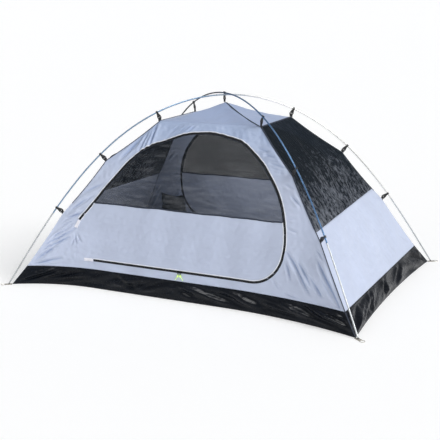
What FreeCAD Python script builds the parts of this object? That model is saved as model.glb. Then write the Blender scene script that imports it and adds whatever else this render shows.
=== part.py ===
import FreeCAD, Part
import math
import os
from FreeCAD import Vector as V

# Two-door dome tent (inner tent), pitched on two crossed poles.
# Millimetres. Origin: centre of the floor, on the ground. +X along the tent, +Z up.
# The door with the sliders faces -Y. The tent is the same when turned half a turn about Z.

# ---------------------------------------------------------------- driving dimensions
WALL = 2.0                      # thickness of every cloth panel
FLOOR_SHEET = 1.5               # thickness of the groundsheet
PLAN_RATIO = 0.6973             # width / length, the same at every height
PEAK_Z = 1067.0                 # top of the roof panel
ROOF_DROP = 3.0                 # height between the roof's outer and inner faces

# height, half length, how far the long side bows in, how far the end bows in
GROUND = (0.0, 1080.0, 138.0, 35.0)
TUB_TOP = (112.0, 1003.0, 103.0, 0.0)
THIRD_CLIP = (430.0, 815.0, 20.0, 0.0)
SECOND_CLIP = (739.0, 596.0, 0.0, 0.0)
FIRST_CLIP = (967.0, 328.0, 0.0, 0.0)
LEVELS = [GROUND, TUB_TOP, THIRD_CLIP, SECOND_CLIP, FIRST_CLIP]
FLAT_FROM = -0.556              # straight middle stretch of a long side,
FLAT_TO = 0.231                 # as a fraction of the half length
MESH_Z = 500.0                  # cloth below this height, mesh above it

# seams inside a panel: each panel is sewn from nearly flat pieces, edge to edge
FAR = 3000.0
TUB_SEAMS = (-FAR, -840.0, -590.0, 250.0, 660.0, FAR)
END_TUB_SEAMS = (-FAR, -250.0, 250.0, FAR)
# low x, high x, low z, high z of each piece
PANEL_PIECES = [
    (-FAR, -590.0, 0.0, 159.0), (-590.0, 240.0, 0.0, 159.0),
    (240.0, 600.0, 0.0, 159.0), (600.0, FAR, 0.0, 159.0),
    (-FAR, 0.0, 159.0, 430.0), (0.0, FAR, 159.0, 430.0),
    (-FAR, 0.0, 430.0, 739.0), (0.0, FAR, 430.0, 739.0),
    (-FAR, -300.0, 739.0, FAR), (-300.0, 20.0, 739.0, FAR),
    (20.0, 330.0, 739.0, FAR), (330.0, FAR, 739.0, FAR),
]
DOOR_PIECES = [(-FAR, -300.0, 0.0, FAR), (-300.0, 240.0, 0.0, FAR), (240.0, FAR, 0.0, FAR)]
DOOR_MESH_PIECES = [(-FAR, FAR, 0.0, 739.0), (-FAR, FAR, 739.0, FAR)]

# poles
FOOT_RADIUS = 1341.0            # from the tent's centre to the foot of a pole
POLE_RISE = 1112.0              # crown of the lower pole's centre line
POLE_D = 8.5
POLE_BORE_D = 7.1
POLE_GAP = 0.8                  # clearance between the two poles where they cross
POLE_SECTIONS = 7
SAG_SHAPE = -0.059              # how far the bent pole departs from a plain cosine
FERRULE_D = 6.4
FERRULE_BORE_D = 4.0
FERRULE_LENGTH = 80.0
SHOCK_CORD_D = 2.5
TIP_COLLAR = 3.0
TIP_SPIGOT_D = 5.0
TIP_CLEAR = 0.3                 # between the spigot's end and the ground
TIP_PLUG = 15.0                 # how far the tip reaches into the tube
TUBE_START = 11.0               # along the pole, from the ground to the tube's end
JOINT_GAP = 0.1                 # from each tube's end to the joint's middle

# pole clips
CLIP_REACH = 36.0               # from the webbing bar to the pole's centre
CLIP_WIDE = 25.0                # width at the webbing bar
CLIP_NARROW = 11.0              # width at the hook
CLIP_PLATE = 4.0
HOOK_R = 8.2
HOOK_CLEAR = 0.4                # between the hook and the pole
HOOK_LIP = 5.0                  # how far the outer arm runs past the pole's centre
BAR_R = 1.5
CLIP_NECK = 7.5                 # from the bar to where the plate starts to narrow
CLIP_WINDOW = 4.5               # height of the window over the bar
CLIP_SIDE = 1.5                 # thickness of the ears beside the window
CROWN_OFFSET = 18.0             # crown clip, along the upper pole from the crossing
CLIP_PARTS = (0.382, 0.267, 0.153)   # clips along each half pole, as parts of its length

# webbing and corner hardware
TAB_WIDTH = 20.0
TAB_THICK = 1.2
TAB_SEAM_GAP = 1.0              # between a tab and the cloth it is sewn to
TAB_CLEAR = 0.5                 # between a tab's loop and the clip's bar
STRAP_WIDTH = 24.0
STRAP_THICK = 1.6
STRAP_LIFT = 0.6
GROMMET_R = 8.0
GROMMET_HOLE_R = 4.6
GROMMET_ROLL = 1.0              # radius of the grommet's rolled rim
RING_R = 13.0
RING_WIRE_R = 1.6
RING_OFFSET = 31.0              # from the pole's foot to the ring's centre

# doors
HINGE_X = -705.0
ZIP_LOW_Z = 165.0               # the straight bottom run of the zip
ZIP_HINGE_TOP_Z = 398.0
ZIP_END_X = -600.0              # the lower end of the zip
ZIP_WIDTH = 10.0
ZIP_GROOVE = 1.8                # between the two rows of teeth
DOOR_GAP = 2.0
SEAM_GAP = 0.3
MEETING_X = -18.0               # where the two sliders meet

# zip sliders, in the wall's own directions: along, up the wall, out of the wall
SLIDER_LENGTH = 14.0
SLIDER_HEIGHT = 11.0
SLIDER_PLATE = 1.6
SLIDER_CLEAR = 0.4
SLIDER_GAP = 1.0                # between the two sliders where they meet
SLIDER_POST = (6.0, 1.0)        # the post that joins the slider's two plates
BRIDGE_POST_X = 3.6             # from the slider's middle to each post of its bridge
BRIDGE_POST_L = 1.2
BRIDGE_POST_W = 2.6
BRIDGE_OUT = 8.5                # pull bar's centre, out from the cloth
BRIDGE_BAR_R = 0.9
PULL_WIDTH = 4.4
TAB_EYE_R = 2.2
TAB_EYE_BORE_R = 1.3
PULL_DROP = 15.0                # from the bar to the pull's cord hole
PULL_PLATE = 1.2
PULL_RING_R = 4.0
PULL_HOLE_R = 2.5
CORD_D = 3.0

# mesh pockets
POCKET_FROM_X = 600.0
POCKET_TO_X = 820.0
POCKET_FROM_Z = 135.0
POCKET_TO_Z = 325.0
POCKET_DEPTH = 12.0

os.makedirs("parts", exist_ok=True)
UP = V(0, 0, 1)
ORIGIN = V(0, 0, 0)
PARTS = {}


def add(name, *shapes):
    """Keep a node: one solid, or a group of separate solids."""
    PARTS[name] = shapes[0] if len(shapes) == 1 else Part.makeCompound(list(shapes))


def turned(shape):
    """The same shape on the other side of the tent, half a turn about Z."""
    copy = shape.copy()
    copy.rotate(ORIGIN, UP, 180)
    return copy


def turned_all(shapes):
    return [turned(shape) for shape in shapes]


def box(low, high):
    return Part.makeBox(high[0] - low[0], high[1] - low[1], high[2] - low[2], V(*low))


# ---------------------------------------------------------------- canopy and groundsheet
def level_at(z):
    """The section of the tent at any height, straight between the named levels."""
    for low, high in zip(LEVELS, LEVELS[1:]):
        if z <= high[0]:
            part = (z - low[0]) / (high[0] - low[0])
            return tuple(a + part * (b - a) for a, b in zip(low, high))
    return LEVELS[-1]


def bowed_edge(corner, tangent):
    """Edge that leaves the straight stretch smoothly at tangent and ends at corner."""
    dx = corner.x - tangent.x
    dy = tangent.y - corner.y
    if dy < 1.0:
        return Part.LineSegment(tangent, corner).toShape()
    radius = (dx * dx + dy * dy) / (2 * dy)
    half = math.asin(abs(dx) / radius) / 2
    middle = tangent + V(math.copysign(radius * math.sin(half), dx), radius * (math.cos(half) - 1), 0)
    return Part.Arc(tangent, middle, corner).toShape()


def long_edges(level, inset):
    """Front edge of the tent at a level, from the left corner to the right one."""
    z, half_length, bow, _ = level
    corner_x = half_length - inset
    corner_y = PLAN_RATIO * half_length - inset
    if bow < 1.0:
        bow = 0.0
    middle_y = bow - corner_y
    left = V(-corner_x, -corner_y, z)
    right = V(corner_x, -corner_y, z)
    from_point = V(FLAT_FROM * half_length, middle_y, z)
    to_point = V(FLAT_TO * half_length, middle_y, z)
    return [bowed_edge(left, from_point), Part.LineSegment(from_point, to_point).toShape(),
            bowed_edge(right, to_point)]


def end_edge(level, inset):
    """Right-hand end of the tent at a level."""
    z, half_length, _, bow = level
    corner_x = half_length - inset
    corner_y = PLAN_RATIO * half_length - inset
    near = V(corner_x, -corner_y, z)
    far = V(corner_x, corner_y, z)
    if bow < 1.0:
        return Part.LineSegment(near, far).toShape()
    return Part.Arc(near, V(corner_x - bow, 0, z), far).toShape()


def long_wall(levels):
    """Front wall between levels, as one thin solid."""
    wires = []
    for level in levels:
        outer = long_edges(level, 0.0)
        inner = long_edges(level, WALL)
        z, half_length = level[0], level[1]
        left = (V(-half_length, -PLAN_RATIO * half_length, z),
                V(WALL - half_length, WALL - PLAN_RATIO * half_length, z))
        right = (V(half_length, -PLAN_RATIO * half_length, z),
                 V(half_length - WALL, WALL - PLAN_RATIO * half_length, z))
        caps = [Part.LineSegment(*left).toShape(), Part.LineSegment(*right).toShape()]
        wires.append(Part.Wire(Part.__sortEdges__(outer + [caps[1]] + inner + [caps[0]])))
    return Part.makeLoft(wires, True, True)


def end_wall(levels):
    """Right-hand end wall between levels, as one thin solid."""
    wires = []
    for level in levels:
        outer = end_edge(level, 0.0)
        inner = end_edge(level, WALL)
        z, half_length = level[0], level[1]
        half_width = PLAN_RATIO * half_length
        near = Part.LineSegment(V(half_length, -half_width, z), V(half_length - WALL, WALL - half_width, z))
        far = Part.LineSegment(V(half_length, half_width, z), V(half_length - WALL, half_width - WALL, z))
        wires.append(Part.Wire(Part.__sortEdges__([outer, far.toShape(), inner, near.toShape()])))
    return Part.makeLoft(wires, True, True)


def pieces_of(panel, cells):
    """The pieces that a front panel is sewn from."""
    pieces = []
    for low_x, high_x, low_z, high_z in cells:
        pieces += panel.common(box((low_x, -FAR, low_z), (high_x, 0, high_z))).Solids
    return pieces


def roof_piece(near, far):
    """One of the roof's four sloping pieces, from the edge between near and far up to the peak."""
    shrink = 1 - ROOF_DROP / (PEAK_Z - near.z)
    top, top_inside = V(0, 0, PEAK_Z), V(0, 0, PEAK_Z - ROOF_DROP)
    near_inside = V(near.x * shrink, near.y * shrink, near.z)
    far_inside = V(far.x * shrink, far.y * shrink, far.z)
    outlines = [[near, far, top], [near_inside, far_inside, top_inside], [near, far, far_inside, near_inside],
                [near, near_inside, top_inside, top], [far, far_inside, top_inside, top]]
    faces = [Part.Face(Part.makePolygon(points + [points[0]])) for points in outlines]
    return Part.makeSolid(Part.makeShell(faces))


def make_groundsheet():
    level = level_at(FLOOR_SHEET)
    inset = WALL + SEAM_GAP
    flat = (0.0,) + tuple(level[1:])
    front = long_edges(flat, inset)
    right = end_edge(flat, inset)
    edges = front + [right] + [turned(edge) for edge in front] + [turned(right)]
    outline = Part.Wire(Part.__sortEdges__(edges))
    return Part.Face(outline).extrude(V(0, 0, FLOOR_SHEET))


# ---------------------------------------------------------------- door outline
def tangent_arc(start, heading, end):
    """Arc that leaves start at a heading in degrees; returns it and its last heading."""
    chord = end - start
    chord_heading = math.degrees(math.atan2(chord.z, chord.x))
    turn = 2 * (chord_heading - heading)
    radius = chord.Length / (2 * math.sin(math.radians(turn / 2)))
    normal = math.radians(heading + 90)
    centre = start + V(math.cos(normal), 0, math.sin(normal)) * radius
    half = math.radians(turn / 2)
    arm = start - centre
    middle = centre + V(arm.x * math.cos(half) - arm.z * math.sin(half), 0,
                        arm.x * math.sin(half) + arm.z * math.cos(half))
    return Part.Arc(start, middle, end).toShape(), heading + turn


def door_outline():
    """The zip's line round the door, drawn in the XZ plane."""
    hinge_top = V(HINGE_X, 0, ZIP_HINGE_TOP_Z)
    shoulder = V(-480, 0, 697)
    edges = [Part.LineSegment(hinge_top, shoulder).toShape()]
    heading = math.degrees(math.atan2(shoulder.z - hinge_top.z, shoulder.x - hinge_top.x))
    point = shoulder
    for nxt in (V(-306, 0, 840), V(60, 0, 915), V(603, 0, 469), V(612, 0, 340)):
        arc, heading = tangent_arc(point, heading, nxt)
        edges.append(arc)
        point = nxt
    normal = math.radians(heading - 90)
    radius = (point.z - ZIP_LOW_Z) / (1 - math.sin(normal))
    corner = V(point.x + radius * math.cos(normal), 0, ZIP_LOW_Z)
    arc, heading = tangent_arc(point, heading, corner)
    hinge_low = V(HINGE_X, 0, ZIP_LOW_Z)
    edges.append(arc)
    edges.append(Part.LineSegment(corner, hinge_low).toShape())
    edges.append(Part.LineSegment(hinge_low, hinge_top).toShape())
    return Part.Face(Part.Wire(edges))


def door_prism(face, offset):
    """Everything in front of the tent inside the zip's line, moved out by offset."""
    sized = face.makeOffset2D(offset) if offset else face
    flat = sized.Faces[0].copy()
    flat.translate(V(0, -FOOT_RADIUS, 0))
    return flat.extrude(V(0, FOOT_RADIUS, 0))


def make_long_side():
    """Panel, door cloth, door mesh and zip of the front side."""
    wall = long_wall([TUB_TOP, THIRD_CLIP, SECOND_CLIP, FIRST_CLIP])
    outline = door_outline()
    half_zip = ZIP_WIDTH / 2
    half_groove = ZIP_GROOVE / 2
    panel = wall.cut(door_prism(outline, half_zip + SEAM_GAP))
    door = wall.common(door_prism(outline, -half_zip - DOOR_GAP))
    big = 2 * FOOT_RADIUS
    upper = box((-big, -big, MESH_Z), (big, 0, big))
    ring = door_prism(outline, half_zip).cut(door_prism(outline, half_groove))
    ring = ring.fuse(door_prism(outline, -half_groove).cut(door_prism(outline, -half_zip)))
    no_zip = box((-big, -big, 0), (ZIP_END_X, 0, ZIP_HINGE_TOP_Z - 20))
    chain = wall.common(ring).cut(no_zip)
    return panel, door.cut(upper), door.common(upper), chain


# ---------------------------------------------------------------- poles
class Pole:
    """A bent pole in a vertical plane through Z: a chain of tangent arcs."""

    def __init__(self, plan_heading, rise):
        self.across = V(math.cos(math.radians(plan_heading)), math.sin(math.radians(plan_heading)), 0)
        self.normal = UP.cross(self.across)
        steps = 2 * POLE_SECTIONS
        low, high = math.radians(30), math.radians(80)
        for _ in range(60):
            foot_angle = (low + high) / 2
            headings, points = self.shape(foot_angle, steps)
            if points[steps // 2].z * FOOT_RADIUS < rise * points[steps // 2].x:
                low = foot_angle
            else:
                high = foot_angle
        self.length = FOOT_RADIUS / points[steps // 2].x
        self.step = self.length / steps
        self.headings = headings
        self.points = [V(p.x * self.length - FOOT_RADIUS, 0, p.z * self.length) for p in points]

    @staticmethod
    def shape(foot_angle, steps):
        """Headings and points of a pole of unit length."""
        headings = []
        for i in range(steps + 1):
            turn = math.pi * i / steps
            headings.append(foot_angle * (math.cos(turn) + SAG_SHAPE * math.cos(3 * turn)))
        points = [V(0, 0, 0)]
        for first, last in zip(headings, headings[1:]):
            bend = (first - last) * steps
            points.append(points[-1] + V((math.sin(first) - math.sin(last)) / bend, 0,
                                         (math.cos(last) - math.cos(first)) / bend))
        return headings, points

    def at(self, distance):
        """Point and heading of the centre line, in the pole's own plane."""
        i = min(int(distance / self.step), len(self.points) - 2)
        first, last = self.headings[i], self.headings[i + 1]
        rest = distance - i * self.step
        heading = first + (last - first) * rest / self.step
        bend = (first - last) / self.step
        start = self.points[i]
        return V(start.x + (math.sin(first) - math.sin(heading)) / bend, 0,
                 start.z + (math.cos(heading) - math.cos(first)) / bend), heading

    def world(self, point):
        return self.across * point.x + UP * point.z

    def frame(self, distance):
        """Centre-line point, direction along the pole and direction out of the tent."""
        point, heading = self.at(distance)
        along = self.across * math.cos(heading) + UP * math.sin(heading)
        out = UP * math.cos(heading) - self.across * math.sin(heading)
        return self.world(point), along, out

    def tube(self, start, end, outer_d, bore_d=0.0):
        """Tube, or rod, along the pole between two distances from its foot."""
        cuts = [start] + [i * self.step for i in range(1, len(self.points) - 1)
                          if start < i * self.step < end] + [end]
        solids = []
        for first, last in zip(cuts, cuts[1:]):
            origin, along, out = self.frame(first)
            i = min(int((first + last) / 2 / self.step), len(self.points) - 2)
            bend = (self.headings[i] - self.headings[i + 1]) / self.step
            ring = Part.Face(Part.Wire(Part.makeCircle(outer_d / 2, origin, along)))
            if bore_d:
                ring = ring.cut(Part.Face(Part.Wire(Part.makeCircle(bore_d / 2, origin, along)))).Faces[0]
            centre = origin - out / bend
            solids.append(ring.revolve(centre, self.normal, math.degrees(bend * (last - first))))
        if len(solids) == 1:
            return solids[0]
        return solids[0].fuse(solids[1:]).removeSplitter()


def make_tip(pole):
    """End plug: a collar as wide as the tube, a plug inside it and a spigot down to the ground."""
    spigot_start = TIP_SPIGOT_D / 2 / math.tan(pole.headings[0]) + TIP_CLEAR
    collar = pole.tube(TUBE_START - TIP_COLLAR, TUBE_START, POLE_D)
    plug = pole.tube(TUBE_START, TUBE_START + TIP_PLUG, POLE_BORE_D - 0.6)
    spigot = pole.tube(spigot_start, TUBE_START - TIP_COLLAR, TIP_SPIGOT_D)
    return collar.fuse([plug, spigot]).removeSplitter()


def make_pole(name, pole):
    section = pole.length / POLE_SECTIONS
    cuts = [TUBE_START] + [i * section for i in range(1, POLE_SECTIONS)] + [pole.length - TUBE_START]
    tubes = [pole.tube(a + JOINT_GAP, b - JOINT_GAP, POLE_D, POLE_BORE_D) for a, b in zip(cuts, cuts[1:])]
    add(name + "_foot_sections", tubes[0], tubes[6])
    add(name + "_lower_sections", tubes[1], tubes[5])
    add(name + "_upper_sections", tubes[2], tubes[4])
    add(name + "_crown_section", tubes[3])
    half = FERRULE_LENGTH / 2
    ferrules = [pole.tube(i * section - half, i * section + half, FERRULE_D, FERRULE_BORE_D)
                for i in range(1, POLE_SECTIONS)]
    cord_start = TUBE_START + TIP_PLUG + 1
    cord = pole.tube(cord_start, pole.length - cord_start, SHOCK_CORD_D)
    return ferrules, cord, [make_tip(pole), turned(make_tip(pole))]


# ---------------------------------------------------------------- pole clips
def make_clip():
    """Hook clip with its webbing bar on X at the origin; the pole lies along X at +Z."""
    reach = CLIP_REACH
    pole_r = POLE_D / 2 + HOOK_CLEAR
    hook = Part.makeCylinder(HOOK_R, CLIP_NARROW, V(-CLIP_NARROW / 2, 0, reach), V(1, 0, 0))
    lip = box((-CLIP_NARROW / 2, 0, reach), (CLIP_NARROW / 2, HOOK_LIP, reach + HOOK_R))
    slot = Part.makeCylinder(pole_r, CLIP_NARROW + 2, V(-CLIP_NARROW / 2 - 1, 0, reach), V(1, 0, 0))
    mouth = box((-CLIP_NARROW, 0, reach - HOOK_R - 1), (CLIP_NARROW, HOOK_R + 1, reach + pole_r))
    half_plate = CLIP_PLATE / 2
    shape = [V(-CLIP_WIDE / 2, -half_plate, 0), V(-CLIP_WIDE / 2, -half_plate, CLIP_NECK),
             V(-CLIP_NARROW / 2, -half_plate, reach - pole_r), V(CLIP_NARROW / 2, -half_plate, reach - pole_r),
             V(CLIP_WIDE / 2, -half_plate, CLIP_NECK), V(CLIP_WIDE / 2, -half_plate, 0)]
    plate = Part.Face(Part.makePolygon(shape + [shape[0]])).extrude(V(0, CLIP_PLATE, 0))
    half_window = CLIP_WIDE / 2 - CLIP_SIDE
    window = box((-half_window, -CLIP_PLATE, -1), (half_window, CLIP_PLATE, CLIP_WINDOW))
    bar = Part.makeCylinder(BAR_R, CLIP_WIDE, V(-CLIP_WIDE / 2, 0, 0), V(1, 0, 0))
    ears = [Part.makeCylinder(half_plate, CLIP_SIDE, V(x, 0, 0), V(1, 0, 0))
            for x in (-CLIP_WIDE / 2, half_window)]
    hook = hook.fuse(lip).cut(slot).cut(mouth)
    return plate.cut(window).fuse([bar, hook] + ears).cut(slot).removeSplitter()


def make_tab(edge, bar, along):
    """Webbing tab: sewn into the seam at edge, looped round the clip's bar."""
    arm = bar - edge
    out = arm - along * arm.dot(along)
    reach = out.Length
    lean = -arm.dot(along)
    half = TAB_WIDTH / 2
    bore_r = BAR_R + TAB_CLEAR
    loop = Part.makeCylinder(bore_r + TAB_THICK, TAB_WIDTH, V(-half, 0, 0), V(1, 0, 0))
    bore = Part.makeCylinder(bore_r, TAB_WIDTH, V(-half, 0, 0), V(1, 0, 0))
    foot = TAB_SEAM_GAP - reach
    top = -bore_r - TAB_THICK / 2
    outline = [V(-half, -TAB_THICK, top), V(half, -TAB_THICK, top),
               V(half + lean, -TAB_THICK, foot), V(lean - half, -TAB_THICK, foot)]
    neck = Part.Face(Part.makePolygon(outline + [outline[0]])).extrude(V(0, 2 * TAB_THICK, 0))
    return placed_on(loop.fuse(neck).cut(bore).removeSplitter(), bar, along, out.normalize())


def placed_on(shape, origin, along, out):
    """Move a shape so that its X runs along and its Z runs out, from origin."""
    side = out.cross(along)
    matrix = FreeCAD.Matrix(along.x, side.x, out.x, origin.x,
                            along.y, side.y, out.y, origin.y,
                            along.z, side.z, out.z, origin.z,
                            0, 0, 0, 1)
    copy = shape.copy()
    copy.Placement = FreeCAD.Placement(matrix)
    return copy


def make_clips(poles):
    """Three clips up every half pole, and one at the crown on the upper pole."""
    clip = make_clip()
    tabs = []
    pivots = {}
    corners = {"front_left": (poles[0], False), "front_right": (poles[1], False),
               "back_right": (poles[0], True), "back_left": (poles[1], True)}
    heights = {"top": FIRST_CLIP, "middle": SECOND_CLIP, "low": THIRD_CLIP}
    for corner, (pole, from_far_end) in corners.items():
        for (place, level), part in zip(heights.items(), CLIP_PARTS):
            distance = pole.length * (1 - part if from_far_end else part)
            point, along, out = pole.frame(distance)
            bar = point - out * CLIP_REACH
            ends = math.copysign(1, point.x), math.copysign(1, point.y)
            edge = V(ends[0] * level[1], ends[1] * PLAN_RATIO * level[1], level[0])
            name = corner + "_" + place + "_clip"
            add(name, placed_on(clip, bar, along, out))
            tabs.append(make_tab(edge, bar, along))
            pivots[name] = (bar, along)
    pole = poles[1]
    point, along, out = pole.frame(pole.length / 2 + CROWN_OFFSET)
    bar = point - out * CLIP_REACH
    add("crown_clip", placed_on(clip, bar, along, out))
    tabs.append(make_tab(V(bar.x, bar.y, PEAK_Z - TAB_SEAM_GAP), bar, along))
    pivots["crown_clip"] = (bar, along)
    return tabs, pivots


# ---------------------------------------------------------------- floor corners
def make_corner(heading):
    """Webbing strap, grommet and stake ring at one corner, pointing along heading."""
    inner = GROUND[1] * math.hypot(1, PLAN_RATIO) + 2.0
    ring_x = FOOT_RADIUS + RING_OFFSET
    low, high = STRAP_LIFT, STRAP_LIFT + STRAP_THICK
    half = STRAP_WIDTH / 2
    strap = box((inner, -half, low), (ring_x - RING_R + 3.5, half, high))
    ring = Part.makeTorus(RING_R, RING_WIRE_R, V(ring_x, 0, RING_WIRE_R), UP)
    loop_room = Part.makeTorus(RING_R, RING_WIRE_R + 0.3, V(ring_x, 0, RING_WIRE_R), UP)
    hole = Part.makeCylinder(GROMMET_R + 0.1, 10, V(FOOT_RADIUS, 0, -1), UP)
    strap = strap.cut(hole).cut(loop_room)
    strap = max(strap.Solids, key=lambda s: s.Volume)
    grommet = Part.makeCylinder(GROMMET_R, STRAP_LIFT + STRAP_THICK, V(FOOT_RADIUS, 0, 0), UP)
    flange = Part.makeTorus(GROMMET_R - 1.5 * GROMMET_ROLL, GROMMET_ROLL, V(FOOT_RADIUS, 0, high), UP)
    bore = Part.makeCylinder(GROMMET_HOLE_R, 20, V(FOOT_RADIUS, 0, -5), UP)
    grommet = grommet.fuse(flange).cut(bore)
    pieces = [strap, grommet, ring]
    for piece in pieces:
        piece.rotate(ORIGIN, UP, heading)
    return pieces


# ---------------------------------------------------------------- sliders and pulls
def wall_frame():
    """Point on the zip's bottom run, and the wall's outward direction there."""
    low, high = TUB_TOP, THIRD_CLIP
    y_low = low[2] - PLAN_RATIO * low[1]
    y_high = high[2] - PLAN_RATIO * high[1]
    up = V(0, y_high - y_low, high[0] - low[0]).normalize()
    out = V(1, 0, 0).cross(up)
    part = (ZIP_LOW_Z - low[0]) / (high[0] - low[0])
    return V(0, y_low + part * (y_high - y_low), ZIP_LOW_Z), out


def make_slider(centre_x):
    """Slider drawn with X along the zip, Y up the wall and Z out of the wall."""
    half_x, half_y = SLIDER_LENGTH / 2, SLIDER_HEIGHT / 2
    outer = box((-half_x, -half_y, SLIDER_CLEAR), (half_x, half_y, SLIDER_CLEAR + SLIDER_PLATE))
    inner_top = -WALL - SLIDER_CLEAR
    inner = box((-half_x, -half_y, inner_top - SLIDER_PLATE), (half_x, half_y, inner_top))
    post_x, post_y = SLIDER_POST[0] / 2, SLIDER_POST[1] / 2
    post = box((-post_x, -post_y, inner_top - 0.1), (post_x, post_y, SLIDER_CLEAR + 0.1))
    shape = outer.fuse([inner, post])
    foot = SLIDER_CLEAR + SLIDER_PLATE - 0.1
    half_l, half_w = BRIDGE_POST_L / 2, BRIDGE_POST_W / 2
    for x in (-BRIDGE_POST_X, BRIDGE_POST_X):
        shape = shape.fuse(box((x - half_l, -half_w, foot), (x + half_l, half_w, BRIDGE_OUT + half_w)))
    bar = Part.makeCylinder(BRIDGE_BAR_R, 2 * BRIDGE_POST_X, V(-BRIDGE_POST_X, 0, BRIDGE_OUT), V(1, 0, 0))
    shape = shape.fuse(bar).removeSplitter()
    base, out = wall_frame()
    return placed_on(shape, base + V(centre_x, 0, 0), V(1, 0, 0), out)


def pull_bar(centre_x):
    base, out = wall_frame()
    return base + V(centre_x, 0, 0) + out * BRIDGE_OUT


def make_pull(centre_x):
    """Steel pull that hangs from the slider's bar, with a hole for its cord."""
    at = pull_bar(centre_x)
    half = PULL_WIDTH / 2
    eye = Part.makeCylinder(TAB_EYE_R, 2 * half, at - V(half, 0, 0), V(1, 0, 0))
    plate = box((at.x - half, at.y - PULL_PLATE / 2, at.z - PULL_DROP),
                (at.x + half, at.y + PULL_PLATE / 2, at.z - TAB_EYE_BORE_R))
    ring = Part.makeCylinder(PULL_RING_R, PULL_PLATE, at - V(0, PULL_PLATE / 2, PULL_DROP), V(0, 1, 0))
    hole = Part.makeCylinder(PULL_HOLE_R, 10, at - V(0, 5, PULL_DROP), V(0, 1, 0))
    bore = Part.makeCylinder(TAB_EYE_BORE_R, 20, at - V(10, 0, 0), V(1, 0, 0))
    return eye.fuse([plate, ring]).cut(bore).cut(hole).removeSplitter()


def rounded_route(points):
    """Straight runs joined by tangent arcs; prints the radii."""
    edges = []
    radii = []
    start = points[0]
    for before, corner, after in zip(points, points[1:], points[2:]):
        back = (before - corner).normalize()
        ahead = (after - corner).normalize()
        turn = math.pi - back.getAngle(ahead)
        trim = 0.45 * min((before - corner).Length, (after - corner).Length)
        radius = trim / math.tan(turn / 2)
        radii.append(round(radius, 1))
        enter, leave = corner + back * trim, corner + ahead * trim
        bisector = (back + ahead).normalize()
        middle = corner + bisector * (radius / math.cos(turn / 2) - radius)
        edges.append(Part.LineSegment(start, enter).toShape())
        edges.append(Part.Arc(enter, middle, leave).toShape())
        start = leave
    edges.append(Part.LineSegment(start, points[-1]).toShape())
    return Part.Wire(edges), radii


def cord_points(at, lean):
    """Route of a pull's cord: up through the pull's hole, back down and away to its end."""
    hole = at - V(0, 0, PULL_DROP)
    offsets = [(-0.6, -2.9, -13.5), (-0.3, -3.6, -8.0), (0.0, -3.1, -1.4), (0.0, 0.0, 0.5),
               (0.0, 2.9, -2.2), (0.4, 1.8, -9.0), (1.6, 0.6, -15.0), (4.6, -0.6, -22.0),
               (7.4, -1.6, -30.0), (8.6, -3.2, -38.0)]
    return [hole + V(lean * x, y, z) for x, y, z in offsets]


def make_cord(name, at, lean):
    points = cord_points(at, lean)
    route, radii = rounded_route(points)
    first = (points[1] - points[0]).normalize()
    section = Part.Wire(Part.makeCircle(CORD_D / 2, points[0], first))
    solid = route.makePipeShell([section], True, False)
    expected = math.pi * CORD_D * CORD_D / 4 * route.Length
    print(f"{name}: length {route.Length:.1f}, radii {radii}, volume {solid.Volume:.1f} of {expected:.1f}")
    return solid


# ---------------------------------------------------------------- pockets
def make_pocket():
    """Flat mesh pocket hung inside the front wall, beside the door."""
    inset = POCKET_DEPTH
    low, high = level_at(POCKET_FROM_Z), level_at(POCKET_TO_Z)
    wires = []
    for level in (low, high):
        z, half_length, bow, _ = level
        y = bow - PLAN_RATIO * half_length + inset
        near = V(POCKET_FROM_X, y, z)
        far = V(POCKET_TO_X * half_length / low[1], y, z)
        shift = V(0, WALL, 0)
        wires.append(Part.makePolygon([near, far, far + shift, near + shift, near]))
    return Part.makeLoft(wires, True, True)


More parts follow.
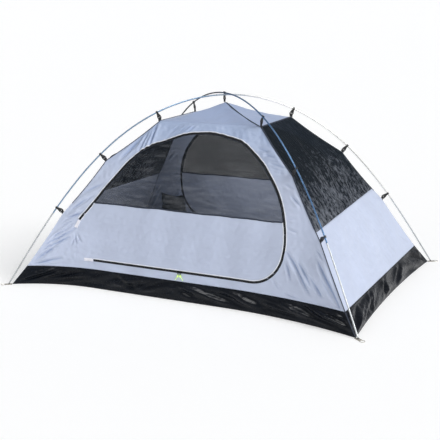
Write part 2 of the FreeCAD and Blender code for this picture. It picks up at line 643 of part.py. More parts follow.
def build():
    add("groundsheet", make_groundsheet())
    tub_cells = [(low, high, 0.0, FAR) for low, high in zip(TUB_SEAMS, TUB_SEAMS[1:])]
    tub_long = pieces_of(long_wall([GROUND, TUB_TOP]), tub_cells)
    whole_end = end_wall([GROUND, TUB_TOP])
    tub_end = [whole_end.common(box((0, low, 0), (FAR, high, FAR)))
               for low, high in zip(END_TUB_SEAMS, END_TUB_SEAMS[1:])]
    add("front_tub_wall", *tub_long)
    add("back_tub_wall", *turned_all(tub_long))
    add("right_tub_wall", *tub_end)
    add("left_tub_wall", *turned_all(tub_end))

    panel, door, mesh, chain = make_long_side()
    side = {"panel": pieces_of(panel, PANEL_PIECES), "door": pieces_of(door, DOOR_PIECES),
            "door_mesh": pieces_of(mesh, DOOR_MESH_PIECES), "zip_chain": [chain]}
    for name, pieces in side.items():
        add("front_" + name, *pieces)
        add("back_" + name, *turned_all(pieces))

    end_lower = end_wall([TUB_TOP, THIRD_CLIP, level_at(MESH_Z)])
    end_mesh = end_wall([level_at(MESH_Z), SECOND_CLIP, FIRST_CLIP])
    add("right_end_panel", end_lower)
    add("left_end_panel", turned(end_lower))
    add("right_end_mesh", end_mesh)
    add("left_end_mesh", turned(end_mesh))

    top_x = FIRST_CLIP[1]
    top_y = PLAN_RATIO * top_x
    eaves = [V(x * top_x, y * top_y, FIRST_CLIP[0]) for x, y in ((-1, -1), (1, -1), (1, 1), (-1, 1))]
    add("roof_panel", *[roof_piece(near, far) for near, far in zip(eaves, eaves[1:] + eaves[:1])])

    plan_heading = math.degrees(math.atan(PLAN_RATIO))
    lower = Pole(plan_heading, POLE_RISE)
    upper = Pole(180 - plan_heading, POLE_RISE + POLE_D + POLE_GAP)
    ferrules, cords, tips = [], [], []
    for name, pole in (("lower_pole", lower), ("upper_pole", upper)):
        more_ferrules, cord, more_tips = make_pole(name, pole)
        ferrules += more_ferrules
        cords.append(cord)
        tips += more_tips
    add("pole_ferrules", *ferrules)
    add("pole_shock_cords", *cords)
    add("pole_tips", *tips)

    tabs, pivots = make_clips((lower, upper))
    add("clip_webbing_tabs", *tabs)

    straps, grommets, rings = [], [], []
    for heading in (plan_heading, 180 - plan_heading, 180 + plan_heading, -plan_heading):
        strap, grommet, ring = make_corner(heading)
        straps.append(strap)
        grommets.append(grommet)
        rings.append(ring)
    add("corner_straps", *straps)
    add("corner_grommets", *grommets)
    add("stake_rings", *rings)

    spread = (SLIDER_LENGTH + SLIDER_GAP) / 2
    for side, sign in (("left", -1), ("right", 1)):
        centre_x = MEETING_X + sign * spread
        at = pull_bar(centre_x)
        pieces = {"slider": make_slider(centre_x), "pull": make_pull(centre_x),
                  "pull_cord": make_cord("pull cord " + side, at, sign)}
        for kind, shape in pieces.items():
            add("front_" + side + "_" + kind, shape)
            add("back_" + side + "_" + kind, turned(shape))
        pivots["front_" + side + "_pull"] = (at, V(1, 0, 0))

    pocket = make_pocket()
    add("mesh_pockets", pocket, turned(pocket))
    return pivots


PIVOTS = build()
for node, shape in PARTS.items():
    shape.exportStep("parts/" + node + ".step")
print(len(PARTS), "nodes")
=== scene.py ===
import math

import bpy
import numpy as np
from mathutils import Matrix, Vector


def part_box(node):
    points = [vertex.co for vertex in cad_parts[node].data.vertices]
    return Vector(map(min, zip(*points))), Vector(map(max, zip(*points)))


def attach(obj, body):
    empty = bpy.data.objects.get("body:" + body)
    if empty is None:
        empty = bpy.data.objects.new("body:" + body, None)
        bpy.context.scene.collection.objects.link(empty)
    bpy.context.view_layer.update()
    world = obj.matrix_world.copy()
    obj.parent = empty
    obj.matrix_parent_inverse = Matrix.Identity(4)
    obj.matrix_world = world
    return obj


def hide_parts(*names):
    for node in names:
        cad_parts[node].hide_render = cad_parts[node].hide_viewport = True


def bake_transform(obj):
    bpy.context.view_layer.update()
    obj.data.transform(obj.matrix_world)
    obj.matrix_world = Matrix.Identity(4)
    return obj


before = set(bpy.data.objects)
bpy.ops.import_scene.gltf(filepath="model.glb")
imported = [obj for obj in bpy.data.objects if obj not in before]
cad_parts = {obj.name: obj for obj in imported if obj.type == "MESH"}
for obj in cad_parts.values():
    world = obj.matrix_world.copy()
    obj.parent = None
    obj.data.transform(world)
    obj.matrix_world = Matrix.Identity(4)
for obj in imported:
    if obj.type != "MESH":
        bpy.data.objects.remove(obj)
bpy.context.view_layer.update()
scene = bpy.context.scene

# -------- dimensions, in metres
RATIO = 0.6973                  # width / length of the tent at every height
# height, half length, bow of the long side, bow of the end
LEVELS = np.array([
    (0.000, 1.080, 0.138, 0.035),
    (0.112, 1.003, 0.103, 0.0),
    (0.430, 0.815, 0.020, 0.0),
    (0.739, 0.596, 0.0, 0.0),
    (0.967, 0.328, 0.0, 0.0),
])
FLAT_FROM, FLAT_TO = -0.556, 0.231
MESH_Z = 0.500
TUB_Z, THIRD_Z, SECOND_Z, ROOF_Z = LEVELS[1:, 0]
PEAK_Z = float(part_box("roof_panel")[1][2])
HINGE_X = -0.705
ZIP_LOW_Z = 0.165
ZIP_END_X = -0.600
ZIP_PATH = ((HINGE_X, 0.398), (-0.480, 0.697), (-0.306, 0.840), (0.060, 0.915),
            (0.603, 0.469), (0.612, 0.340))
CLOTH = 0.0007                  # thickness of a coated fabric
NET = 0.0005                    # thickness of the mesh
STITCH, THREAD = 0.0042, 0.0006         # length of a stitch and half width of its thread
CORD_LENGTH, CORD_D = 0.055, 0.003      # pull cord
FRONT_SEED, BACK_SEED = 11, 47          # wrinkles of the two side walls
CAMERA_AT = (2.414, -5.065, 1.730)
CAMERA_LENS = 76.5              # millimetres on a 36 mm sensor
AZIMUTH, DOWN, ROLL = 0.4522, 0.2430, -0.008    # the camera's heading, in radians


# -------- camera
def add(name, data):
    obj = bpy.data.objects.new(name, data)
    scene.collection.objects.link(obj)
    return obj


def make_camera():
    data = bpy.data.cameras.new("camera")
    data.sensor_width = 36.0
    data.lens = CAMERA_LENS
    cam = add("camera", data)
    reach = math.cos(DOWN)
    ahead = Vector((-math.sin(AZIMUTH) * reach, math.cos(AZIMUTH) * reach, -math.sin(DOWN)))
    level = Vector((math.cos(AZIMUTH), math.sin(AZIMUTH), 0.0))
    upward = level.cross(ahead)
    right = level * math.cos(ROLL) + upward * math.sin(ROLL)
    top = upward * math.cos(ROLL) - level * math.sin(ROLL)
    turned = Matrix((right, top, -ahead)).transposed().to_4x4()
    cam.matrix_world = Matrix.Translation(CAMERA_AT) @ turned
    scene.camera = cam


make_camera()


# -------- materials
class Paint:
    """A node material built up in a few calls."""

    def __init__(self, name, color, roughness=0.6, **sockets):
        self.mat = bpy.data.materials.new(name)
        self.mat.use_nodes = True
        self.tree = self.mat.node_tree
        self.shader = self.tree.nodes["Principled BSDF"]
        self.shader.inputs["Base Color"].default_value = (*color, 1.0)
        self.shader.inputs["Roughness"].default_value = roughness
        for key, value in sockets.items():
            self.shader.inputs[key.replace("_", " ")].default_value = value
        self.mat.diffuse_color = (*color, 1.0)
        self.color = color

    def node(self, kind, **values):
        made = self.tree.nodes.new(kind)
        for key, value in values.items():
            if hasattr(made, key):
                setattr(made, key, value)
            else:
                made.inputs[key].default_value = value
        return made

    def link(self, out, into):
        self.tree.links.new(out, into)

    def place(self, scale=(1, 1, 1), source="Object"):
        """Coordinates in metres, stretched by scale."""
        mapping = self.node("ShaderNodeMapping", Scale=scale)
        self.link(self.node("ShaderNodeTexCoord").outputs[source], mapping.inputs["Vector"])
        return mapping.outputs["Vector"]

    def axis(self, name, source="Object"):
        """One coordinate, in metres."""
        split = self.node("ShaderNodeSeparateXYZ")
        self.link(self.node("ShaderNodeTexCoord").outputs[source], split.inputs["Vector"])
        return split.outputs[name]

    def noise(self, scale, detail=3.0, stretch=(1, 1, 1), rough=0.55):
        tex = self.node("ShaderNodeTexNoise", Scale=scale, Detail=detail, Roughness=rough)
        self.link(self.place(stretch), tex.inputs["Vector"])
        return tex.outputs["Fac"]

    def bands(self, scale, axis, source="Object", stretch=(1, 1, 1)):
        tex = self.node("ShaderNodeTexWave", Scale=scale, bands_direction=axis)
        self.link(self.place(stretch, source), tex.inputs["Vector"])
        return tex.outputs["Fac"]

    def math(self, kind, first, second):
        made = self.node("ShaderNodeMath", operation=kind)
        for socket, value in zip(made.inputs, (first, second)):
            if isinstance(value, (int, float)):
                socket.default_value = value
            else:
                self.link(value, socket)
        return made.outputs["Value"]

    def ramp(self, factor, stops):
        made = self.node("ShaderNodeValToRGB")
        points = made.color_ramp.elements
        while len(points) < len(stops):
            points.new(0.5)
        for point, (at, color) in zip(points, stops):
            point.position = at
            point.color = (*color, 1.0)
        self.link(factor, made.inputs["Fac"])
        return made.outputs["Color"]

    def spread(self, factor, low, high):
        made = self.node("ShaderNodeMapRange", **{"To Min": low, "To Max": high})
        self.link(factor, made.inputs["Value"])
        return made.outputs["Result"]

    def drive(self, name, value):
        """Lead a value into one of the shader's sockets."""
        self.link(value, self.shader.inputs[name])

    def tint(self, color):
        self.drive("Base Color", color)

    def bump(self, *layers):
        """Each layer is a height socket with its depth in metres."""
        normal = None
        for height, depth in layers:
            made = self.node("ShaderNodeBump", Strength=1.0, Distance=depth)
            self.link(height, made.inputs["Height"])
            if normal is not None:
                self.link(normal, made.inputs["Normal"])
            normal = made.outputs["Normal"]
        self.drive("Normal", normal)

    def times(self, first, second):
        mix = self.node("ShaderNodeMix", data_type="RGBA", blend_type="MULTIPLY", Factor=1.0)
        self.link(first, mix.inputs["A"])
        self.link(second, mix.inputs["B"])
        return mix.outputs["Result"]

    def shade(self, factor, low, high):
        """Colour that runs from low to high times the paint's own colour."""
        dark = tuple(c * low for c in self.color)
        light = tuple(min(1.0, c * high) for c in self.color)
        made = self.ramp(factor, [(0.25, dark), (0.75, light)])
        self.tint(made)
        return made


WHITE = (1.0, 1.0, 1.0)
FOLD_SHADE = (0.62, 0.70, 0.82)      # painted shade: how much darker and cooler the bottom of a fold is painted


def weave(paint, pitch):
    """Height of a plain weave with that thread pitch, from the piece's own flat coordinates."""
    turns = 1.0 / (pitch * 20.0)
    warp = paint.bands(turns, "X", "UV")
    weft = paint.bands(turns, "Y", "UV")
    return paint.math("MULTIPLY", warp, weft)


def cloth_paint(name, color, roughness, crinkle, tone=(0.93, 1.05), painted_upper_shade=None, **sockets):
    """Coated cloth; the upper-shade colour, when given, is a painted shade that its colour takes on above
    the second clips, and with it the folds that the fold attribute marks get painted shade too.
    """
    paint = Paint(name, color, roughness, **sockets)
    tint = paint.shade(paint.noise(5.0, 3.0), *tone)
    if painted_upper_shade:
        # painted shade: the cloth is painted darker and cooler above the second clips, where it tilts up out
        # of the light
        height = paint.ramp(paint.axis("Z"), [(SECOND_Z - 0.06, WHITE), (ROOF_Z - 0.06, painted_upper_shade)])
        # painted shade in the folds: darker and cooler where the fold attribute is high
        fold = paint.node("ShaderNodeAttribute", attribute_name="fold")
        depth = paint.ramp(fold.outputs["Fac"], [(0.05, WHITE), (0.95, FOLD_SHADE)])
        paint.tint(paint.times(paint.times(tint, height), depth))
    fine = paint.noise(70.0, 4.0)
    creases = paint.noise(22.0, 3.0, stretch=(1, 1, 2.2))
    paint.drive("Roughness", paint.spread(fine, roughness - 0.07, roughness + 0.07))
    paint.bump((creases, crinkle), (fine, crinkle * 0.22), (weave(paint, 0.0006), 0.00004))
    return paint


def net_paint(name, color, gather_sheen, cover, gather, stretch, top_shade=0.0):
    """Insect mesh: dark thread with light streaks where it gathers, partly the denser gathered thread and
    partly a painted sheen; the top-shade amount makes them fewer higher up, a painted shade towards the top.
    """
    paint = Paint(name, color, 0.7, Alpha=cover, Specular_IOR_Level=0.12)
    streaks = paint.noise(48.0, 5.0, stretch=stretch, rough=0.7)
    patches = paint.spread(paint.noise(3.2, 3.0), 0.32, 0.68)
    # painted shade towards the top: the streaks thin out higher up
    height = paint.math("MULTIPLY", paint.axis("Z"), 0.5 + top_shade)
    lower = paint.math("SUBTRACT", 1.35 + 0.55 * top_shade, height)
    both = paint.math("MULTIPLY", paint.math("MULTIPLY", streaks, patches), lower)
    # light streaks: the denser gathered thread with a painted sheen
    paint.tint(paint.ramp(both, [(gather - 0.10, color), (gather + 0.10, gather_sheen)]))
    paint.bump((streaks, 0.0012), (weave(paint, 0.0014), 0.0002))
    return paint


def stitched_paint(name, color, rows, thread):
    """Narrow folded hem or tape; rows are the stitch lines' places across it, in metres."""
    paint = Paint(name, color, 0.62, Specular_IOR_Level=0.25)
    part = paint.math("FRACT", paint.math("MULTIPLY", paint.axis("X", "UV"), 1 / STITCH), 0.0)
    dash = paint.math("GREATER_THAN", part, 0.28)
    across = paint.axis("Y", "UV")
    line = None
    for row in rows:
        away = paint.math("ABSOLUTE", paint.math("SUBTRACT", across, row), 0.0)
        near = paint.math("LESS_THAN", away, THREAD)
        line = near if line is None else paint.math("MAXIMUM", line, near)
    stitch = paint.math("MULTIPLY", dash, line)
    mix = paint.node("ShaderNodeMix", data_type="RGBA", A=(*color, 1.0), B=(*thread, 1.0))
    paint.link(stitch, mix.inputs["Factor"])
    worn = paint.ramp(paint.noise(30.0, 3.0), [(0.3, (0.84,) * 3), (0.7, WHITE)])
    paint.tint(paint.times(mix.outputs["Result"], worn))
    paint.bump((stitch, 0.0004), (weave(paint, 0.0008), 0.00008))
    return paint


def plain_paint(name, color, roughness, bump_scale, bump_depth, stretch=(1, 1, 1), **sockets):
    """Hard material or webbing with a fine grain."""
    paint = Paint(name, color, roughness, **sockets)
    grain = paint.noise(bump_scale, 4.0, stretch)
    paint.shade(paint.noise(bump_scale * 0.15, 3.0), 0.8, 1.15)
    paint.drive("Roughness", paint.spread(grain, roughness - 0.08, roughness + 0.08))
    paint.bump((grain, bump_depth))
    return paint


PALE = cloth_paint("pale cloth", (0.490, 0.545, 0.690), 0.46, 0.0016,
                   painted_upper_shade=(0.72, 0.80, 0.90), Sheen_Weight=0.15)
# painted shade: the same cloth as the walls, painted darker and bluer because the roof faces the dim sky
SHADED_ROOF = cloth_paint("roof cloth in painted shade", (0.345, 0.425, 0.625), 0.44, 0.0016, Sheen_Weight=0.15)
TUB = cloth_paint("tub cloth", (0.0035, 0.0050, 0.0085), 0.26, 0.0006,
                  tone=(0.7, 1.4), Specular_IOR_Level=0.17)
MESH = net_paint("insect mesh", (0.006, 0.009, 0.013), (0.125, 0.130, 0.140), 0.55, 0.33, (0.16, 0.16, 1))
# the end mesh is nearly opaque and darker than the door mesh: painted shade for the dim inside seen through
# it
END_MESH = net_paint("end mesh", (0.003, 0.007, 0.012), (0.250, 0.268, 0.310), 0.88, 0.32, (1, 1, 0.10), 0.9)
# whiter than the cloth: a painted highlight on folded edges that catch the light
HEM_HIGHLIGHT = stitched_paint("pale hem with painted highlight", (0.86, 0.88, 0.94), (-0.0025, 0.0025), (0.66, 0.70, 0.80))
BINDING = stitched_paint("dark binding", (0.022, 0.030, 0.050), (-0.0025, 0.0025), (0.05, 0.06, 0.085))
PATCH = stitched_paint("reinforcement", (0.90, 0.89, 0.96), (-0.008, -0.004, 0.004, 0.008),
                       (0.66, 0.68, 0.80))
TAPE = stitched_paint("zip tape", (0.005, 0.005, 0.006), (-0.0012,), (0.015, 0.015, 0.016))
COIL = plain_paint("zip coil", (0.006, 0.006, 0.007), 0.40, 300.0, 0.0001, Specular_IOR_Level=0.3)
PLASTIC = plain_paint("black acetal", (0.012, 0.012, 0.013), 0.42, 420.0, 0.00008)
WEBBING = plain_paint("black webbing", (0.012, 0.012, 0.014), 0.8, 900.0, 0.0003, stretch=(1, 1, 3))
ENAMEL = plain_paint("black enamel", (0.015, 0.015, 0.017), 0.28, 260.0, 0.00005, Metallic=0.6)
STEEL = plain_paint("plated steel", (0.62, 0.60, 0.55), 0.28, 350.0, 0.00006, Metallic=1.0)


def tube_paint_shade_to_reflection(name, left, right):
    """Anodised tube whose colour runs from left to right across the tent: the darker left colour is painted
    shade and the lighter right colour a painted reflection.
    """
    paint = plain_paint(name, left, 0.28, 500.0, 0.00003, (1, 1, 0.1), Metallic=0.8)
    # painted shade on the left of the tent, painted reflection on the right
    paint.tint(paint.ramp(paint.math("ADD", paint.axis("X"), 0.5), [(0.40, left), (0.64, right)]))
    return paint


# on both tubes the left colour is painted shade and the right colour a painted reflection
LOWER_TUBE = tube_paint_shade_to_reflection("light blue anodised tube", (0.24, 0.36, 0.50), (0.78, 0.77, 0.74))
UPPER_TUBE = tube_paint_shade_to_reflection("blue anodised tube", (0.030, 0.035, 0.045), (0.105, 0.20, 0.36))
STRAP = plain_paint("grey webbing", (0.40, 0.38, 0.34), 0.8, 900.0, 0.0003, stretch=(1, 1, 3))
SILVER = plain_paint("silver anodised tube", (0.56, 0.58, 0.59), 0.40, 500.0, 0.00003,
                     stretch=(1, 1, 0.1), Metallic=0.85)
NYLON = plain_paint("black nylon", (0.02, 0.02, 0.02), 0.5, 300.0, 0.00008)
ELASTIC = plain_paint("white elastic", (0.75, 0.75, 0.74), 0.7, 700.0, 0.0002)


def neon_paint():
    # the emission is a painted glow: the braid is no lamp
    paint = Paint("neon braid", (0.70, 0.94, 0.28), 0.6, Sheen_Weight=0.3,
                  Emission_Strength=0.45, Emission_Color=(0.62, 0.95, 0.12, 1.0))
    strands = [paint.bands(50.0, "DIAGONAL", stretch=way) for way in ((1, 1, 1), (-1, -1, 1))]
    braid = paint.math("MULTIPLY", *strands)
    paint.shade(braid, 0.75, 1.15)
    paint.bump((braid, 0.0004))
    return paint


NEON = neon_paint()


# -------- pull cords
PULLS = [(face, side, turn, lean) for face, turn in (("front", 1), ("back", -1))
         for side, lean in (("left", -1), ("right", 1))]


def pull_foot(face, side):
    """Middle of a pull's lower end."""
    low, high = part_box(f"{face}_{side}_pull")
    return Vector(((low[0] + high[0]) / 2, (low[1] + high[1]) / 2, low[2]))


def pull_cord(face, side, turn, lean):
    """Cord looped through a pull's hole: up the front of the hole, through it, and away."""
    hole = pull_foot(face, side) + Vector((0.0, 0.0, 0.004))
    route = [(-0.6, -2.9, -13.5), (-0.3, -3.6, -8.0), (0.0, -3.1, -1.4), (0.0, 0.0, 0.5),
             (0.0, 2.9, -2.2), (0.6, 1.8, -9.0), (3.6, 0.6, -14.0), (8.6, -0.6, -20.0),
             (13.4, -1.6, -26.0), (17.0, -3.2, -32.5)]
    data = bpy.data.curves.new(f"{face}_{side}_neon_cord", "CURVE")
    data.dimensions = "3D"
    data.bevel_depth = CORD_D / 2
    data.bevel_resolution = 4
    data.resolution_u = 10
    data.use_fill_caps = True
    spline = data.splines.new("NURBS")
    spline.points.add(len(route) - 1)
    for point, (x, y, z) in zip(spline.points, route):
        place = hole + Vector((turn * lean * x, turn * y, z)) / 1000
        point.co = (*place, 1.0)
    spline.order_u = 3
    spline.use_endpoint_u = True
    obj = add(data.name, data)
    data.materials.append(NEON.mat)
    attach(obj, f"{face}_{side}_pull")
    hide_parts(f"{face}_{side}_pull_cord")


def cord_knot(face, side, turn, lean):
    """Overhand knot under the pull: a bumpy ring of the same braid round both ends of its cord."""
    centre = np.array(pull_foot(face, side)) + (turn * lean * 0.0008, -turn * 0.0030, -0.0060)
    a, b = np.meshgrid(np.arange(36) * 2 * math.pi / 36, np.arange(10) * 2 * math.pi / 10, indexing="ij")
    reach = 0.0034 + 0.0020 * np.cos(b) + 0.0006 * np.sin(3 * a)
    height = 0.0022 * np.sin(b) + 0.0020 * np.sin(2 * a + 0.6)
    rings = centre + np.stack([reach * np.cos(a), reach * np.sin(a), height], -1)
    sweep(f"{face}_{side}_cord_knot", rings, NEON, f"{face}_{side}_pull", closed=True)


for pull in PULLS:
    pull_cord(*pull)


# -------- mesh helpers
def make_mesh(name, points, faces, paint, body, uv, fold=None):
    """Smooth mesh with flat coordinates in metres; without a body it is left without a parent."""
    data = bpy.data.meshes.new(name)
    data.from_pydata(points.reshape(-1, 3).tolist(), [], faces)
    data.polygons.foreach_set("use_smooth", np.ones(len(data.polygons), bool))
    layer = data.uv_layers.new(name="UVMap")
    index = np.empty(len(data.loops), int)
    data.loops.foreach_get("vertex_index", index)
    layer.data.foreach_set("uv", uv.reshape(-1, 2)[index].astype(np.float32).ravel())
    # fold, when given, is the painted fold shade of each point, kept as a point attribute
    if fold is not None:
        layer = data.attributes.new("fold", "FLOAT", "POINT")
        layer.data.foreach_set("value", np.asarray(fold, np.float32).ravel())
    data.materials.append(paint.mat)
    obj = add(name, data)
    if body:
        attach(obj, body)
    return obj


def grid_faces(rows, columns, loop=False):
    """Quads of a grid of rows x columns points; loop joins the last column to the first."""
    r, c = np.meshgrid(np.arange(rows - 1), np.arange(columns if loop else columns - 1), indexing="ij")
    here, below, after = r * columns, (r + 1) * columns, (c + 1) % columns
    quads = np.stack([here + c, here + after, below + after, below + c], -1)
    return quads.reshape(-1, 4).tolist()


def unit(vectors):
    return vectors / np.linalg.norm(vectors, axis=-1, keepdims=True)


def half_turn(points):
    return np.asarray(points) * np.array([-1.0, -1.0, 1.0])


def on_side(word, points):
    """Everything is shaped at the front and the right; the back and the left are half a turn round."""
    return points if word in ("front", "right") else half_turn(points)


def length_along(points):
    """Distance of each point from the first one, along the line."""
    return np.concatenate([[0.0], np.cumsum(np.linalg.norm(np.diff(points, axis=0), axis=1))])


def steps_of(grid):
    """Distances between a grid's neighbouring points, along the rows and down the columns."""
    return (np.linalg.norm(np.diff(grid, axis=axis), axis=2) for axis in (1, 0))


def flat_lengths(grid):
    """Flat coordinates of a grid of points: distance along the rows and down the columns."""
    across, down = steps_of(grid)
    u = np.concatenate([np.zeros((grid.shape[0], 1)), np.cumsum(across, axis=1)], axis=1)
    v = np.concatenate([np.zeros((1, grid.shape[1])), np.cumsum(down, axis=0)], axis=0)
    return np.stack([u - u[:, -1:] / 2, v], -1)


MIDDLE = np.array([0.0, 0.0, 0.45])     # a point inside the tent, which every sheet faces away from


def sheet_from(name, grid, paint, node=None, body="tent", thick=CLOTH,
               flat=None, loop=False, fold=None):
    """A cloth sheet from a grid of points, given its thickness; its flat size, given or measured from the
    grid, is not used.
    """
    grid = np.asarray(grid, float)
    facing = np.cross(grid[:-1, 1:] - grid[:-1, :-1], grid[1:, :-1] - grid[:-1, :-1])
    if np.sum(facing * (grid[:-1, :-1] - MIDDLE)) < 0:
        grid = grid[:, ::-1]
        fold = None if fold is None else fold[:, ::-1]
    faces = grid_faces(*grid.shape[:2], loop)
    obj = make_mesh(name, grid, faces, paint, body, flat_lengths(grid), fold)
    solid = obj.modifiers.new("thickness", "SOLIDIFY")
    solid.thickness = thick
    solid.offset = -1.0
    if node:
        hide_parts(node)
    if flat is None:
        across, down = steps_of(grid)
        flat = sorted((float(across.sum(axis=1).max()), float(down.sum(axis=0).max())))
    return obj


def sweep(name, rings, paint, body="tent", closed=False, across=0.0):
    """Closed skin through rings of points, with capped ends unless the rings close on themselves."""
    rings = np.asarray(rings, float)
    count, around = rings.shape[:2]
    last = (count - 1) * around
    faces = grid_faces(count, around, True)
    if closed:
        faces += [[last + i, last + (i + 1) % around, (i + 1) % around, i] for i in range(around)]
    else:
        faces += [list(range(around))[::-1], list(range(last, last + around))]
    along = length_along(rings.mean(axis=1))
    uv = np.stack(np.broadcast_arrays(along[:, None], (np.zeros(around) + across)[None]), -1)
    return make_mesh(name, rings, faces, paint, body, uv)


for pull in PULLS:
    cord_knot(*pull)


# -------- the tent's surfaces
def smooth_hats(levels, reach):
    """Weight of each level at any height: straight between levels, rounded over reach."""
    heights = np.arange(-0.4, 1.6, 0.001)
    kernel = np.cos(np.linspace(-math.pi / 2, math.pi / 2, int(reach * 2000) + 1)) ** 2
    kernel /= kernel.sum()
    hats = []
    for i in range(len(levels)):
        one = np.zeros(len(levels))
        one[i] = 1.0
        hat = np.interp(heights, levels, one)
        below, above = heights < levels[0], heights > levels[-1]
        hat[below] = one[0] + (heights[below] - levels[0]) * (one[1] - one[0]) / (levels[1] - levels[0])
        slope = (one[-1] - one[-2]) / (levels[-1] - levels[-2])
        hat[above] = one[-1] + (heights[above] - levels[-1]) * slope
        hats.append(np.convolve(hat, kernel, mode="same"))
    return heights, hats


WALL_Z = LEVELS[1:, 0]
HAT_Z, HATS = smooth_hats(WALL_Z, 0.075)


def firm_half(z):
    """Half the length of the plain outline at a height."""
    return np.interp(z, LEVELS[:, 0], LEVELS[:, 1])


def level_weights(z):
    return [np.interp(z, HAT_Z, hat) for hat in HATS]


def edge_sag(z):
    """How far a corner edge hangs in between two clips."""
    sag = np.zeros_like(z)
    for low, high, depth in ((TUB_Z, THIRD_Z, 0.003), (THIRD_Z, SECOND_Z, 0.007), (SECOND_Z, ROOF_Z, 0.008)):
        part = np.clip((z - low) / (high - low), 0, 1)
        sag += depth * np.sin(math.pi * part)
    return sag


def half_length(share, z):
    """Half the tent's length at a height; share runs from 0 in mid wall to 1 at the corner."""
    soft = sum(w * length for w, length in zip(level_weights(z), LEVELS[1:, 1]))
    firm = np.interp(z, WALL_Z, LEVELS[1:, 1])
    near = np.abs(share) ** 6
    return soft + (firm - soft) * near - edge_sag(z) * np.abs(share) ** 3


def inward(s, level):
    """How far the long side lies inside the corner line at a level, at share s of the half length."""
    _, length, bow, _ = level
    over = np.where(s < FLAT_FROM, FLAT_FROM - s, np.where(s > FLAT_TO, s - FLAT_TO, 0.0)) * length
    whole = np.where(s < FLAT_FROM, FLAT_FROM + 1, 1 - FLAT_TO) * length
    if bow <= 0:
        return np.zeros_like(s)
    radius = (whole ** 2 + bow ** 2) / (2 * bow)
    return bow - (radius - np.sqrt(np.maximum(radius ** 2 - over ** 2, 0)))


def wall_base(s, z):
    """Front wall without wrinkles."""
    length = half_length(s, z)
    bow = sum(w * inward(s, level) for w, level in zip(level_weights(z), LEVELS[1:]))
    return np.stack([s * length, bow - RATIO * length, z], -1)


def end_base(t, z):
    """Right-hand end wall without wrinkles; t runs from -1 at the front to 1 at the back."""
    length = half_length(t, z)
    return np.stack([length, t * RATIO * length, z], -1)


def tub_wall(line, share, z):
    """Straight from the tub's bottom line to its top line; line gives x and y at a level."""
    bottom, top = (np.stack([*line(level), np.full_like(share, level[0])], -1) for level in LEVELS[:2])
    part = (z / TUB_Z)[..., None]
    return bottom * (1 - part) + top * part


def tub_base(s, z):
    return tub_wall(lambda level: (s * level[1], inward(s, level) - RATIO * level[1]), s, z)


def tub_end_base(t, z):
    return tub_wall(lambda level: (level[1] - level[3] * (1 - t * t), t * RATIO * level[1]), t, z)


def normals_of(base, a, b):
    step = 1e-4
    across = base(a + step, b) - base(a - step, b)
    return unit(np.cross(across, base(a, b + step) - base(a, b - step)))


# -------- wrinkles
def ripples(u, v, seed, heading, spread, shortest, longest, count=16):
    """Sum of plane waves whose crests run near a heading in degrees; about 1 high."""
    rng = np.random.default_rng(seed)
    total = np.zeros_like(u)
    for _ in range(count):
        angle = math.radians(heading + 90 + rng.normal(0, spread))
        length = math.exp(rng.uniform(math.log(shortest), math.log(longest)))
        phase = rng.uniform(0, 2 * math.pi)
        total += np.sin(2 * math.pi * (u * math.cos(angle) + v * math.sin(angle)) / length + phase)
    return total / math.sqrt(count / 2)


def crease(u, v, fold):
    """One pinched fold along a segment: a valley with a ridge each side."""
    u0, v0, u1, v1, width, depth = fold
    du, dv = u1 - u0, v1 - v0
    length = math.hypot(du, dv)
    along = ((u - u0) * du + (v - v0) * dv) / length
    aside = ((v - v0) * du - (u - u0) * dv) / length
    over = np.maximum(np.maximum(-along, along - length), 0)
    bulge = np.sin(math.pi * np.clip(along / length, 0, 1))
    taper = np.exp(-(over / (1.6 * width)) ** 2) * (0.45 + 0.55 * bulge)
    valley = np.exp(-(aside / width) ** 2)
    ridge = np.exp(-((np.abs(aside) - 1.9 * width) / (1.1 * width)) ** 2)
    return depth * taper * (0.6 * ridge - valley)


def rise(x, start, end):
    """Smooth step from 0 to 1."""
    part = np.clip((x - start) / (end - start), 0, 1)
    return part * part * (3 - 2 * part)


def in_metres(*rows):
    return [tuple(value / 1000 for value in row) for row in rows]


# x, z at both ends, half width and depth of each fold on the front wall, in millimetres
FOLDS = in_metres(
    (-855, 292, -763, 345, 7, 3.5), (-898, 248, -755, 323, 9, 4.5), (-908, 216, -765, 291, 9, 4.5),
    (-923, 187, -834, 230, 8, 4), (-955, 152, -873, 206, 8, 3.5), (-959, 125, -808, 162, 8, 3.5),
    (-955, 118, -885, 141, 6, 2.5), (-723, 300, -715, 266, 6, 3), (-704, 301, -684, 268, 6, 2.8),
    (-730, 280, -745, 250, 6, 1.8), (-787, 403, -713, 430, 7, 3), (-758, 459, -681, 518, 10, 3),
    (-702, 555, -596, 605, 10, 2.8), (-690, 500, -640, 540, 7, 1.8), (-340, 944, -342, 841, 8, 5),
    (-357, 912, -369, 826, 7, 4.5), (-378, 891, -397, 806, 8, 4.5), (-420, 860, -496, 764, 12, 3.5),
    (-118, 945, -153, 918, 6, 2.2), (-141, 942, -172, 916, 6, 2.2), (-89, 946, -113, 924, 6, 2),
    (-200, 938, -225, 915, 6, 1.4), (359, 853, 411, 845, 7, 2.2), (400, 830, 459, 820, 7, 2.4),
    (454, 788, 547, 771, 7, 2.6), (465, 768, 560, 757, 6, 2.4), (489, 748, 560, 747, 6, 2),
    (430, 808, 500, 800, 6, 1.6), (612, 633, 660, 596, 7, 3), (625, 470, 666, 462, 6, 2.2),
    (620, 523, 649, 524, 6, 1.4), (560, 690, 610, 676, 7, 1.4), (640, 343, 782, 162, 10, 5),
    (706, 300, 784, 210, 10, 4.5), (635, 288, 662, 214, 8, 3.5), (818, 322, 965, 125, 10, 6),
    (820, 200, 859, 153, 8, 3), (800, 385, 835, 345, 6, 2.5), (640, 135, 720, 120, 6, 2),
    (770, 255, 850, 170, 9, 3), (850, 245, 935, 140, 8, 3.5), (560, 200, 600, 150, 7, 1.4),
)


